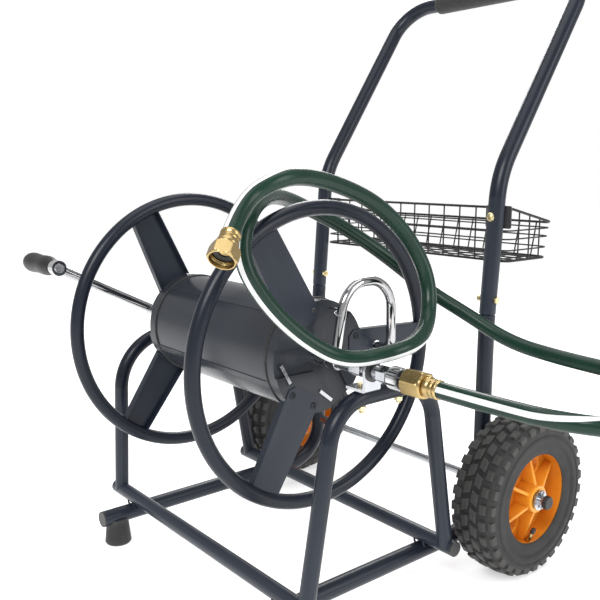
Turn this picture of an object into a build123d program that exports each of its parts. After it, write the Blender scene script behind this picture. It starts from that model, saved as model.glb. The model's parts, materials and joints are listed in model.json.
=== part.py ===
from build123d import *
import math
import os

# Garden hose reel cart: a two-wheeled steel cart that carries a hand-cranked hose reel between two
# arches, a wire basket and a push handle, with a short leader hose on the reel's swivel inlet.
# Millimetres. X runs along the reel's axis, +X to the water inlet and -X to the crank. +Y runs
# from the front feet back to the push handle. +Z is up and the ground is Z = 0.

# ---- Where the reel's centre is -------------------------------------------------------------
REEL_X = 31.0
REEL_Y = -170.5
AXIS_HEIGHT = 357.0

# ---- Reel -----------------------------------------------------------------------------------
RIM_RADIUS = 195.0
RIM_TUBE = 20.0
RIM_X = 159.0
DRUM_RADIUS = 75.0
SHEET = 1.5
DISC_FACE = 161.5
DISC_THICKNESS = 5.5
DISC_RECESS = 3.5
DISC_FLANGE = 13.0
BEAD_WIDTH = 4.0
SPOKE_COUNT = 3
SPOKE_INNER = 50.0
SPOKE_FLANGE = 9.0
SPOKE_HUB_WIDTH = 57.0
SPOKE_RIM_WIDTH = 45.0
SCREW_RADIUS = 62.0
SCREW_OFFSET = 20.0
SCREW_SHANK = 5.0
SEAM_ANGLES = (126.0, 204.0, 330.0)
CLIP_HOLE = (17.0, 63.0)
GOOSENECK_TUBE = 13.0
NECK_FOOT = (2.7, 15.5)
LOCK_TABS = [((-60.0, -14.0), 300.0, 30.0), ((8.0, -54.0), 322.0, 26.0)]
SHAFT_OUTER = 22.0
SHAFT_INNER = 15.0
JOURNAL = 17.0
RUNNING = 0.05

# ---- Frame tubes ----------------------------------------------------------------------------
ARCH_X = 240.0
ARCH_TUBE = 22.0
SIDE_BOLT_Y = 66.0
BOLT_RADIUS = 3.0
HEX_FLATS = 10.0
NUT_HEIGHT = 5.0
RAIL_X = 195.0
RAIL_TUBE = 25.0
WALL = 1.5
RAIL_Z = -312.0
RAIL_FRONT = -150.0
UPRIGHT_Y = 304.0
UPRIGHT_LEAN = math.radians(4.24)
LEAN_Z = 10.5
JOINT_Z = 24.0
SPIGOT_OUTER = 21.6
SPIGOT_LENGTH = 56.0
FRONT_CROSS_Y = -93.0
REAR_CROSS_Y = 172.0
CROSS_Z = -289.5

# ---- Handle ---------------------------------------------------------------------------------
HANDLE_BEND = (320.4, 233.0)
HANDLE_TOP = (529.0, 545.0)

# ---- Wheels ---------------------------------------------------------------------------------
WHEEL_X = 265.5
AXLE_Y = 305.0
AXLE_Z = -237.0
AXLE_RADIUS = 7.5
TYRE_RADIUS = 120.0
TYRE_WIDTH = 75.0
HUB_RADIUS = 78.0
HUB_WIDTH = 60.0
HUB_BOSS = 72.0

# ---- Water fittings on the reel's axis ------------------------------------------------------
ELBOW_X = 190.0
EAR_X = 257.0
SWIVEL_START = 292.0
SWIVEL_END = 318.0
HOSE_OUTER = 20.0
GHT_RADIUS = 13.2

# ---- Basket ---------------------------------------------------------------------------------
BASKET_HALF = 205.0
BASKET_FRONT = 334.0
BASKET_REAR_TOP = 450.0
BASKET_REAR_FLOOR = 437.0
BASKET_TOP_Z = 185.0
BASKET_REAR_Z = 158.0
BASKET_FLOOR_Z = 104.0
BASKET_PITCH = 32.0

# ---- Crank ----------------------------------------------------------------------------------
CRANK_X = -272.5
CRANK_ANGLE = 153.0
CRANK_REACH = 195.0
GRIP_INNER_X = -290.0
GRIP_OUTER_X = -392.0

# Leader hose: hand-laid route from the inlet coupling to the free coupling.
HOSE_ROUTE = [
    (366, 0, 0),
    (440, 0, 0),
    (520, 0, 2),
    (595, 75, -6),
    (595, 175, -14),
    (520, 250, -12),
    (435, 258, -8),
    (350, 256, -5),
    (275, 252, 3),
    (208, 238, 36),
    (150, 218, 66),
    (108, 170, 118),
    (92, 105, 160),
    (95, 38, 188),
    (118, -28, 208),
    (158, -88, 211),
    (200, -142, 194),
    (214, -165, 145),
    (221, -131, 90),
    (233, -85, 45),
    (252, -40, 17),
    (286, 8, 27),
    (282, 58, 34),
    (256, 104, 54),
    (240, 118, 104),
    (229, 92, 156),
    (221, 46, 198),
    (222, -14, 222),
    (230, -78, 236),
    (237, -128, 234),
    (226, -167, 211),
    (245, -196, 178),
]


def at(x, y, z):
    """A point given from the reel's centre."""
    return Vector(REEL_X + x, REEL_Y + y, AXIS_HEIGHT + z)


def across(x, y=0.0, z=0.0, turn=0.0):
    """A plane square to the reel's axis, whose own x starts along +Y and turns towards +Z."""
    angle = math.radians(turn)
    return Plane(origin=at(x, y, z), x_dir=(0, math.cos(angle), math.sin(angle)), z_dir=(1, 0, 0))


def run_tube(points, radii, outer, wall=0.0, close=False):
    """Add a round tube that follows straight runs joined by arcs; no wall makes it solid."""
    with BuildLine() as route:
        FilletPolyline(*points, radius=radii, close=close)
    start = Plane(origin=route.line @ 0, z_dir=route.line % 0)
    with BuildSketch(start) as section:
        Circle(outer / 2)
        if wall:
            Circle(outer / 2 - wall, mode=Mode.SUBTRACT)
    sweep(section.sketch, path=route.line)


def run_rod(start, end, radius, bore=0.0, mode=Mode.ADD):
    """Add or cut a straight rod or tube between two points."""
    start, end = Vector(start), Vector(end)
    with BuildSketch(Plane(origin=start, z_dir=end - start)) as section:
        Circle(radius)
        if bore:
            Circle(bore, mode=Mode.SUBTRACT)
    extrude(section.sketch, amount=(end - start).length, mode=mode)


def run_hex(start, end, flats, bore=0.0):
    """Add a hexagonal bar or nut between two points, with its edges broken."""
    start, end = Vector(start), Vector(end)
    length = (end - start).length
    corner = flats / math.sqrt(3)
    with BuildSketch(Plane(origin=start, z_dir=end - start)) as section:
        RegularPolygon(corner, 6)
        Circle(corner - 0.35, mode=Mode.INTERSECT)
        if bore:
            Circle(bore, mode=Mode.SUBTRACT)
    extrude(section.sketch, amount=length)


def run_torus(plane, ring_radius, tube_radius, bore=0.0):
    """Add a ring of round section about a plane's axis."""
    side = Plane(origin=plane.origin, x_dir=plane.x_dir, z_dir=-plane.y_dir)
    with BuildSketch(side) as section:
        with Locations((ring_radius, 0)):
            Circle(tube_radius)
            if bore:
                Circle(bore, mode=Mode.SUBTRACT)
    revolve(section.sketch, axis=Axis(plane.origin, plane.z_dir))


def run_profile(plane, points):
    """Add a turned solid from (radius, height) points about a plane's axis."""
    side = Plane(origin=plane.origin, x_dir=plane.x_dir, z_dir=-plane.y_dir)
    with BuildSketch(side) as section:
        with BuildLine() as outline:
            Polyline(*points, close=True)
        make_face(outline.line)
    revolve(section.sketch, axis=Axis(plane.origin, plane.z_dir))


def save(builder, label):
    """Label a finished piece and write its STEP file."""
    builder.part.label = label
    export_step(builder.part, f"parts/{label}.step")


os.makedirs("parts", exist_ok=True)


# ==== Frame ==================================================================================

ARCHES = {
    "inlet_side": {"x": ARCH_X, "front": 5.0, "rear": 74.5, "radius": 60.0, "top": -37.0, "splay": (10, 10)},
    "crank_side": {"x": -ARCH_X, "front": -3.0, "rear": 55.0, "radius": 85.0, "top": -33.0, "splay": (2, 10)},
}


def arch_points(shape):
    """Corner points of an arch: front foot, two shoulders, rear foot."""
    centre_z = shape["top"] - shape["radius"]
    corners = []
    front_splay, rear_splay = shape["splay"]
    for side, centre_y, splay in ((-1, shape["front"], front_splay), (1, shape["rear"], rear_splay)):
        slope = math.tan(math.radians(splay))
        leg_y = centre_y + side * shape["radius"] / math.cos(math.radians(splay))
        foot = (shape["x"], leg_y + side * (centre_z - CROSS_Z) * slope, CROSS_Z)
        shoulder = (shape["x"], leg_y - side * (shape["top"] - centre_z) * slope, shape["top"])
        corners.append((foot, shoulder))
    (front_foot, front_top), (rear_foot, rear_top) = corners
    return [at(*front_foot), at(*front_top), at(*rear_top), at(*rear_foot)]


def cut_bolt_hole(x, y, top):
    """Cut a vertical hole for an M6 bolt down through an arch."""
    run_rod(at(x, y, top + 20), at(x, y, top - 20), BOLT_RADIUS, mode=Mode.SUBTRACT)


for side_name, arch_shape in ARCHES.items():
    with BuildPart() as arch:
        run_tube(arch_points(arch_shape), arch_shape["radius"], ARCH_TUBE, WALL)
        for cross_y in (FRONT_CROSS_Y, REAR_CROSS_Y):
            run_rod(
                at(-ARCH_X - 40, cross_y, CROSS_Z), at(ARCH_X + 40, cross_y, CROSS_Z), ARCH_TUBE / 2,
                mode=Mode.SUBTRACT,
            )
        cut_bolt_hole(arch_shape["x"], 0, arch_shape["top"])
        if side_name == "inlet_side":
            cut_bolt_hole(arch_shape["x"], SIDE_BOLT_Y, arch_shape["top"])
    save(arch, f"{side_name}_arch")


def rail_points(x):
    """Corner points of a side rail that turns up into the lower half of an upright."""
    lean = math.tan(UPRIGHT_LEAN) * (JOINT_Z - LEAN_Z)
    return [
        at(x, RAIL_FRONT, RAIL_Z),
        at(x, UPRIGHT_Y, RAIL_Z),
        at(x, UPRIGHT_Y, LEAN_Z),
        at(x, UPRIGHT_Y + lean, JOINT_Z),
    ]


def upright_point(x, z, forward=0.0):
    """A point on a leaning upright's centre line, or ahead of it."""
    return at(x, UPRIGHT_Y + math.tan(UPRIGHT_LEAN) * (z - LEAN_Z) - forward, z)


JOINT_BOLT_Z = 48.0
BASKET_BOLT_Z = 172.0
SIDES = {"inlet_side": 1, "crank_side": -1}

for side_name, sign in SIDES.items():
    rail_x = sign * RAIL_X
    with BuildPart() as rail:
        run_tube(rail_points(rail_x), [70, 140], RAIL_TUBE, WALL)
        spigot_end = upright_point(rail_x, JOINT_Z + SPIGOT_LENGTH)
        run_rod(upright_point(rail_x, JOINT_Z - 4), spigot_end, SPIGOT_OUTER / 2, SPIGOT_OUTER / 2 - WALL)
        run_rod(
            upright_point(rail_x, JOINT_Z - 4), upright_point(rail_x, JOINT_Z - 1), RAIL_TUBE / 2 - 0.5,
            SPIGOT_OUTER / 2 - WALL,
        )
        run_rod(
            at(rail_x - 30, AXLE_Y, AXLE_Z), at(rail_x + 30, AXLE_Y, AXLE_Z), AXLE_RADIUS, mode=Mode.SUBTRACT
        )
        bolt_y = upright_point(rail_x, JOINT_BOLT_Z) - at(0, 0, 0)
        run_rod(
            at(rail_x - 30, bolt_y.Y, JOINT_BOLT_Z), at(rail_x + 30, bolt_y.Y, JOINT_BOLT_Z),
            BOLT_RADIUS, mode=Mode.SUBTRACT,
        )
    save(rail, f"{side_name}_rail")

for name, cross_y in (("front_cross_tube", FRONT_CROSS_Y), ("rear_cross_tube", REAR_CROSS_Y)):
    with BuildPart() as cross_tube:
        run_rod(
            at(-ARCH_X - 14, cross_y, CROSS_Z), at(ARCH_X + 14, cross_y, CROSS_Z), ARCH_TUBE / 2,
            ARCH_TUBE / 2 - WALL,
        )
        for sign in (-1, 1):
            run_rod(
                at(sign * RAIL_X, cross_y - 20, RAIL_Z), at(sign * RAIL_X, cross_y + 20, RAIL_Z),
                RAIL_TUBE / 2, mode=Mode.SUBTRACT,
            )
    save(cross_tube, name)

with BuildPart() as tube_plugs:
    for sign in (-1, 1):
        for cross_y in (FRONT_CROSS_Y, REAR_CROSS_Y):
            end = at(sign * (ARCH_X + 14), cross_y, CROSS_Z)
            run_rod(end, end + Vector(sign * 3, 0, 0), ARCH_TUBE / 2)
            run_rod(end - Vector(sign * 14, 0, 0), end, ARCH_TUBE / 2 - WALL)
        end = at(sign * RAIL_X, RAIL_FRONT, RAIL_Z)
        run_rod(end - Vector(0, 3, 0), end, RAIL_TUBE / 2)
        run_rod(end, end + Vector(0, 16, 0), RAIL_TUBE / 2 - WALL)
save(tube_plugs, "tube_plugs")

FOOT_Y = RAIL_FRONT + 24
with BuildPart() as front_feet:
    for sign in (-1, 1):
        ground = Plane(origin=at(sign * RAIL_X, FOOT_Y, -AXIS_HEIGHT))
        foot_top = RAIL_Z + AXIS_HEIGHT - 4
        run_profile(ground, [(0, 0), (19, 0), (21, 3), (17, foot_top), (0, foot_top)])
        run_rod(
            at(sign * RAIL_X, FOOT_Y - 30, RAIL_Z), at(sign * RAIL_X, FOOT_Y + 30, RAIL_Z), RAIL_TUBE / 2,
            mode=Mode.SUBTRACT,
        )
save(front_feet, "front_feet")

# ==== Push handle ============================================================================

GRIP_HALF = 110.0
with BuildPart() as handle_hoop:
    foot_z = JOINT_Z + 2
    hoop_points = []
    for sign in (-1, 1):
        leg = [
            upright_point(sign * RAIL_X, foot_z),
            at(sign * RAIL_X, *HANDLE_BEND),
            at(sign * RAIL_X, *HANDLE_TOP),
        ]
        hoop_points += leg if sign < 0 else leg[::-1]
    run_tube(hoop_points, [140, 60, 60, 140], RAIL_TUBE, WALL)
    for sign in (-1, 1):
        rail_x = sign * RAIL_X
        joint_y = (upright_point(rail_x, JOINT_BOLT_Z) - at(0, 0, 0)).Y
        basket_y = (upright_point(rail_x, BASKET_BOLT_Z) - at(0, 0, 0)).Y
        run_rod(
            at(rail_x - 30, joint_y, JOINT_BOLT_Z), at(rail_x + 30, joint_y, JOINT_BOLT_Z),
            BOLT_RADIUS, mode=Mode.SUBTRACT,
        )
        run_rod(
            at(rail_x, basket_y - 30, BASKET_BOLT_Z), at(rail_x, basket_y + 30, BASKET_BOLT_Z),
            BOLT_RADIUS, mode=Mode.SUBTRACT,
        )
save(handle_hoop, "handle_hoop")

with BuildPart() as handle_grip:
    top_y, top_z = HANDLE_TOP
    run_rod(at(-GRIP_HALF, top_y, top_z), at(GRIP_HALF, top_y, top_z), 17.0, RAIL_TUBE / 2)
    fillet(handle_grip.edges().filter_by(GeomType.CIRCLE).group_by(SortBy.RADIUS)[-1], 3.0)
save(handle_grip, "handle_grip")


def hex_bolt(head_face, direction, length, head=4.0):
    """Add a hex-headed bolt whose shank starts at the head's seat and runs along a direction."""
    direction = Vector(*direction)
    run_hex(head_face - direction * head, head_face, HEX_FLATS)
    run_rod(head_face, head_face + direction * length, BOLT_RADIUS)


# ==== Basket =================================================================================

THIN_WIRE = 2.4
THICK_WIRE = 4.0


def basket_loop(front_z, rear_z, front_y, rear_y, half, wire):
    """Add a closed rectangular wire loop with rounded corners."""
    corners = [
        at(half, front_y, front_z),
        at(half, rear_y, rear_z),
        at(-half, rear_y, rear_z),
        at(-half, front_y, front_z),
    ]
    run_tube(corners, 14.0, wire, close=True)


def rear_y_at(z):
    """Where the basket's sloping rear panel is at a height."""
    part_way = (z - BASKET_FLOOR_Z) / (BASKET_REAR_Z - BASKET_FLOOR_Z)
    return BASKET_REAR_FLOOR + (BASKET_REAR_TOP - BASKET_REAR_FLOOR) * part_way


with BuildPart() as wire_basket:
    basket_loop(BASKET_TOP_Z, BASKET_REAR_Z, BASKET_FRONT, BASKET_REAR_TOP, BASKET_HALF, THICK_WIRE)
    basket_loop(BASKET_FLOOR_Z, BASKET_FLOOR_Z, BASKET_FRONT, BASKET_REAR_FLOOR, BASKET_HALF, THICK_WIRE)
    for height in (150.0, 137.0, 120.0):
        basket_loop(height, height, BASKET_FRONT, rear_y_at(height), BASKET_HALF, THIN_WIRE)
    run_rod(
        at(-BASKET_HALF + 2, BASKET_FRONT, 164), at(BASKET_HALF - 2, BASKET_FRONT, 164), THIN_WIRE / 2
    )
    for index in range(12):
        wire_x = (index - 5.5) * BASKET_PITCH
        run_tube(
            [
                at(wire_x, BASKET_FRONT, BASKET_TOP_Z),
                at(wire_x, BASKET_FRONT, BASKET_FLOOR_Z - 0.6),
                at(wire_x, BASKET_REAR_FLOOR, BASKET_FLOOR_Z - 0.6),
                at(wire_x, BASKET_REAR_TOP, BASKET_REAR_Z),
            ],
            3.0,
            THIN_WIRE,
        )
    for index in range(3):
        wire_y = BASKET_FRONT + (index + 1) * 27.0
        share = (wire_y - BASKET_FRONT) / (BASKET_REAR_TOP - BASKET_FRONT)
        top_z = BASKET_TOP_Z - (BASKET_TOP_Z - BASKET_REAR_Z) * share
        run_tube(
            [
                at(-BASKET_HALF, wire_y, top_z),
                at(-BASKET_HALF, wire_y, BASKET_FLOOR_Z),
                at(BASKET_HALF, wire_y, BASKET_FLOOR_Z),
                at(BASKET_HALF, wire_y, top_z),
            ],
            6.0,
            THIN_WIRE,
        )
save(wire_basket, "wire_basket")

PLATE_FRONT = BASKET_FRONT - THICK_WIRE / 2 - 2.0
with BuildPart() as basket_plates:
    for sign in (-1, 1):
        plate_corner = at(sign * (RAIL_X - 6), PLATE_FRONT, BASKET_BOLT_Z - 1)
        with BuildSketch(Plane(origin=plate_corner, x_dir=(1, 0, 0), z_dir=(0, 1, 0))) as plate:
            RectangleRounded(46, 34, 3)
        extrude(plate.sketch, amount=2.0)
        run_rod(
            at(sign * RAIL_X, PLATE_FRONT - 5, BASKET_BOLT_Z),
            at(sign * RAIL_X, PLATE_FRONT + 5, BASKET_BOLT_Z),
            BOLT_RADIUS,
            mode=Mode.SUBTRACT,
        )
save(basket_plates, "basket_plates")

# ==== Bearing brackets on the arches =========================================================

EAR_RADIUS = 13.5
BUSH_OUTER = 11.0
FOOT_THICKNESS = 3.5
EAR_THICKNESS = 4.0
FOOT_INNER_X = 224.0

for side_name, sign in SIDES.items():
    foot_base = ARCHES[side_name]["top"] + ARCH_TUBE / 2
    with BuildPart() as bracket:
        with BuildSketch(across(sign * EAR_X - EAR_THICKNESS / 2)) as ear:
            Circle(EAR_RADIUS)
            with Locations((0, foot_base / 2)):
                Rectangle(2 * EAR_RADIUS, -foot_base)
            Circle(BUSH_OUTER, mode=Mode.SUBTRACT)
        extrude(ear.sketch, amount=EAR_THICKNESS)
        foot_start = at(sign * FOOT_INNER_X, 0, foot_base)
        foot_length = EAR_X + EAR_THICKNESS / 2 - FOOT_INNER_X
        with BuildSketch(Plane(origin=foot_start)) as foot:
            with Locations((sign * foot_length / 2, 0)):
                RectangleRounded(foot_length, 2 * EAR_RADIUS, 1.5)
            with Locations((sign * (ARCH_X - FOOT_INNER_X), 0)):
                Circle(BOLT_RADIUS, mode=Mode.SUBTRACT)
        extrude(foot.sketch, amount=FOOT_THICKNESS)
        outer_edges = bracket.edges().filter_by(Axis.Y).group_by(Axis.X)[-1 if sign > 0 else 0]
        fillet(outer_edges.sort_by(Axis.Z)[0], 3.0)
    save(bracket, f"{side_name}_bracket")
with BuildPart() as reel_bushes:
    for sign in (-1, 1):
        run_rod(at(sign * (EAR_X - 2), 0, 0), at(sign * (EAR_X + 2), 0, 0), BUSH_OUTER, JOURNAL / 2 + RUNNING)
        for flange_x in (EAR_X - 3.5, EAR_X + 2):
            run_rod(at(sign * flange_x, 0, 0), at(sign * (flange_x + 1.5), 0, 0), 13.0, JOURNAL / 2 + RUNNING)
save(reel_bushes, "reel_bushes")

# ==== Bolts and nuts that hold the frame together ============================================

with BuildPart() as frame_bolts:
    for side_name, sign in SIDES.items():
        joint = upright_point(sign * RAIL_X, JOINT_BOLT_Z)
        hex_bolt(joint + Vector(sign * RAIL_TUBE / 2, 0, 0), (-sign, 0, 0), RAIL_TUBE + 8)
        head_base = upright_point(sign * RAIL_X, BASKET_BOLT_Z) - Vector(0, RAIL_TUBE / 2 + 0.6, 0)
        with BuildSketch(Plane(origin=head_base, x_dir=(0, -1, 0), z_dir=(0, 0, 1))) as dome:
            with BuildLine() as outline:
                Polyline((0, 6.8), (0, 0), (4.2, 0))
                Spline((4.2, 0), (2.8, 4.4), (0, 6.8), tangents=((0, 1), (-1, 0.5)))
            make_face(outline.line)
        revolve(dome.sketch, axis=Axis(head_base, (0, 1, 0)))
        run_rod(head_base, head_base + Vector(0, RAIL_TUBE + 15, 0), BOLT_RADIUS)
        arch_top = ARCHES[side_name]["top"] + ARCH_TUBE / 2
        hex_bolt(at(sign * ARCH_X, 0, arch_top + FOOT_THICKNESS), (0, 0, -1), FOOT_THICKNESS + ARCH_TUBE + 9)
    side_seat = at(ARCH_X, SIDE_BOLT_Y, ARCHES["inlet_side"]["top"] + ARCH_TUBE / 2)
    hex_bolt(side_seat, (0, 0, -1), ARCH_TUBE + 8)
save(frame_bolts, "frame_bolts")

with BuildPart() as frame_nuts:
    for side_name, sign in SIDES.items():
        inner = upright_point(sign * RAIL_X, JOINT_BOLT_Z) - Vector(sign * RAIL_TUBE / 2, 0, 0)
        run_hex(inner, inner - Vector(sign * NUT_HEIGHT, 0, 0), HEX_FLATS, BOLT_RADIUS)
        back = at(sign * RAIL_X, PLATE_FRONT + 2.0, BASKET_BOLT_Z)
        run_hex(back, back + Vector(0, NUT_HEIGHT, 0), HEX_FLATS, BOLT_RADIUS)
        under = at(sign * ARCH_X, 0, ARCHES[side_name]["top"] - ARCH_TUBE / 2)
        run_hex(under, under - Vector(0, 0, NUT_HEIGHT), HEX_FLATS, BOLT_RADIUS)
    under = at(ARCH_X, SIDE_BOLT_Y, ARCHES["inlet_side"]["top"] - ARCH_TUBE / 2)
    run_hex(under, under - Vector(0, 0, NUT_HEIGHT), HEX_FLATS, BOLT_RADIUS)
save(frame_nuts, "frame_nuts")

# ==== Axle and wheels ========================================================================

AXLE_HALF = 316.0
HUB_BOSS_RADIUS = 20.0
HUB_BUSH_OUTER = 11.0

with BuildPart() as axle:
    run_rod(at(-AXLE_HALF, AXLE_Y, AXLE_Z), at(AXLE_HALF, AXLE_Y, AXLE_Z), AXLE_RADIUS)
    for sign in (-1, 1):
        pin_x = sign * (WHEEL_X + HUB_BOSS / 2 + 5)
        run_rod(at(pin_x, AXLE_Y, AXLE_Z - 20), at(pin_x, AXLE_Y, AXLE_Z + 20), 1.6, mode=Mode.SUBTRACT)
save(axle, "axle")

with BuildPart() as axle_spacers:
    for sign in (-1, 1):
        run_rod(
            at(sign * (RAIL_X + RAIL_TUBE / 2), AXLE_Y, AXLE_Z),
            at(sign * (WHEEL_X - HUB_BOSS / 2 - 0.5), AXLE_Y, AXLE_Z),
            10.5, AXLE_RADIUS,
        )
        washer_x = WHEEL_X + HUB_BOSS / 2 + 0.5
        run_rod(
            at(sign * washer_x, AXLE_Y, AXLE_Z), at(sign * (washer_x + 2), AXLE_Y, AXLE_Z), 15.0, AXLE_RADIUS
        )
save(axle_spacers, "axle_spacers")

with BuildPart() as cotter_pins:
    for sign in (-1, 1):
        pin_x = sign * (WHEEL_X + HUB_BOSS / 2 + 5)
        run_rod(at(pin_x, AXLE_Y, AXLE_Z - 12), at(pin_x, AXLE_Y, AXLE_Z + 9), 1.6)
        run_torus(Plane(origin=at(pin_x, AXLE_Y, AXLE_Z + 12), x_dir=(0, 1, 0), z_dir=(1, 0, 0)), 3.0, 1.2)
save(cotter_pins, "cotter_pins")

with BuildPart() as axle_caps:
    for sign in (-1, 1):
        cap_x = sign * (AXLE_HALF - 4)
        run_rod(at(cap_x, AXLE_Y, AXLE_Z), at(sign * AXLE_HALF, AXLE_Y, AXLE_Z), 10.0, AXLE_RADIUS)
        run_rod(at(sign * AXLE_HALF, AXLE_Y, AXLE_Z), at(sign * (AXLE_HALF + 3), AXLE_Y, AXLE_Z), 10.0)
    fillet(axle_caps.edges().filter_by(GeomType.CIRCLE).group_by(Axis.X)[0], 2.0)
    fillet(axle_caps.edges().filter_by(GeomType.CIRCLE).group_by(Axis.X)[-1], 2.0)
save(axle_caps, "axle_caps")

for side_name, sign in SIDES.items():
    wheel_plane = Plane(origin=at(sign * WHEEL_X, AXLE_Y, AXLE_Z), x_dir=(0, 1, 0), z_dir=(1, 0, 0))
    half_tyre = TYRE_WIDTH / 2
    with BuildPart() as tyre:
        side = Plane(origin=wheel_plane.origin, x_dir=wheel_plane.x_dir, z_dir=-wheel_plane.y_dir)
        with BuildSketch(side) as section:
            with BuildLine() as outline:
                crown = ThreePointArc(
                    (TYRE_RADIUS - 7, -half_tyre + 6), (TYRE_RADIUS, 0), (TYRE_RADIUS - 7, half_tyre - 6)
                )
                Spline(
                    crown @ 1, (TYRE_RADIUS - 20, half_tyre), (HUB_RADIUS + 6, half_tyre - 9),
                    (HUB_RADIUS, half_tyre - 12),
                )
                Line((HUB_RADIUS, half_tyre - 12), (HUB_RADIUS, -half_tyre + 12))
                Spline(
                    (HUB_RADIUS, -half_tyre + 12), (HUB_RADIUS + 6, -half_tyre + 9),
                    (TYRE_RADIUS - 20, -half_tyre), crown @ 0,
                )
            make_face(outline.line)
            with Locations((HUB_RADIUS + 19, 0)):
                RectangleRounded(26, TYRE_WIDTH - 16, 8, mode=Mode.SUBTRACT)
        revolve(section.sketch, axis=Axis(wheel_plane.origin, wheel_plane.z_dir))
    save(tyre, f"{side_name}_tyre")
    with BuildPart() as hub:
        half_hub = HUB_WIDTH / 2
        half_boss = HUB_BOSS / 2 - 2
        run_profile(
            wheel_plane,
            [
                (HUB_BUSH_OUTER, -half_boss), (HUB_BOSS_RADIUS, -half_boss), (HUB_BOSS_RADIUS + 3, -7),
                (HUB_RADIUS - 8, -4), (HUB_RADIUS - 6, -half_hub + 3), (HUB_RADIUS - 3, -half_hub),
                (HUB_RADIUS, -half_hub + 5.2), (HUB_RADIUS, half_hub - 5.2), (HUB_RADIUS - 3, half_hub),
                (HUB_RADIUS - 6, half_hub - 3), (HUB_RADIUS - 8, 4), (HUB_BOSS_RADIUS + 3, 7),
                (HUB_BOSS_RADIUS, half_boss), (HUB_BUSH_OUTER, half_boss),
            ],
        )
        with BuildSketch(wheel_plane.offset(-20)) as windows:
            with PolarLocations((HUB_BOSS_RADIUS + HUB_RADIUS) / 2 - 1, 6):
                Circle(14)
        extrude(windows.sketch, amount=40, mode=Mode.SUBTRACT)
    save(hub, f"{side_name}_hub")
    with BuildPart() as hub_bush:
        run_rod(
            at(sign * WHEEL_X - (HUB_BOSS / 2 - 2), AXLE_Y, AXLE_Z),
            at(sign * WHEEL_X + (HUB_BOSS / 2 - 2), AXLE_Y, AXLE_Z),
            HUB_BUSH_OUTER, AXLE_RADIUS + RUNNING,
        )
        for end in (-1, 1):
            run_rod(
                at(sign * WHEEL_X + end * (HUB_BOSS / 2 - 2), AXLE_Y, AXLE_Z),
                at(sign * WHEEL_X + end * HUB_BOSS / 2, AXLE_Y, AXLE_Z),
                14.0, AXLE_RADIUS + RUNNING,
            )
    save(hub_bush, f"{side_name}_hub_bush")

# ==== Reel ===================================================================================

SPOKE_TURN = {"inlet_side": 0.0, "crank_side": -5.0}
OUTLET_Y = 102.0
CAP_RADIUS = DRUM_RADIUS + 0.5
ARM_HALF_WIDTH = 18.0
ELBOW_START = 181.0


def spoke_corners(shrink=0.0):
    """Corners of a spoke's tapered outline, from its inner end to the rim's centre line."""
    hub_half = SPOKE_HUB_WIDTH / 2 - shrink
    rim_half = SPOKE_RIM_WIDTH / 2 - shrink
    return [
        (SPOKE_INNER, -hub_half + 8), (SPOKE_INNER + 8, -hub_half), (RIM_RADIUS, -rim_half),
        (RIM_RADIUS, rim_half), (SPOKE_INNER + 8, hub_half), (SPOKE_INNER, hub_half - 8),
    ]


def screw_places(turn):
    """The (y, z) centres of a spoke's two screws."""
    angle = math.radians(turn)
    places = []
    for offset in (-SCREW_OFFSET, SCREW_OFFSET):
        y = SCREW_RADIUS * math.cos(angle) - offset * math.sin(angle)
        z = SCREW_RADIUS * math.sin(angle) + offset * math.cos(angle)
        places.append((y, z))
    return places


def spoke_turns(side_name):
    """The directions of one side's spokes, in degrees."""
    return [SPOKE_TURN[side_name] + index * 360 / SPOKE_COUNT for index in range(SPOKE_COUNT)]


def cut_screw_holes(sign, turns):
    """Cut the holes that the screws of some spokes pass through."""
    with BuildSketch(across(sign * (DISC_FACE - 3))) as holes:
        for turn in turns:
            with Locations(*screw_places(turn)):
                Circle(SCREW_SHANK / 2)
    extrude(holes.sketch, amount=sign * 6, mode=Mode.SUBTRACT)


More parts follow.
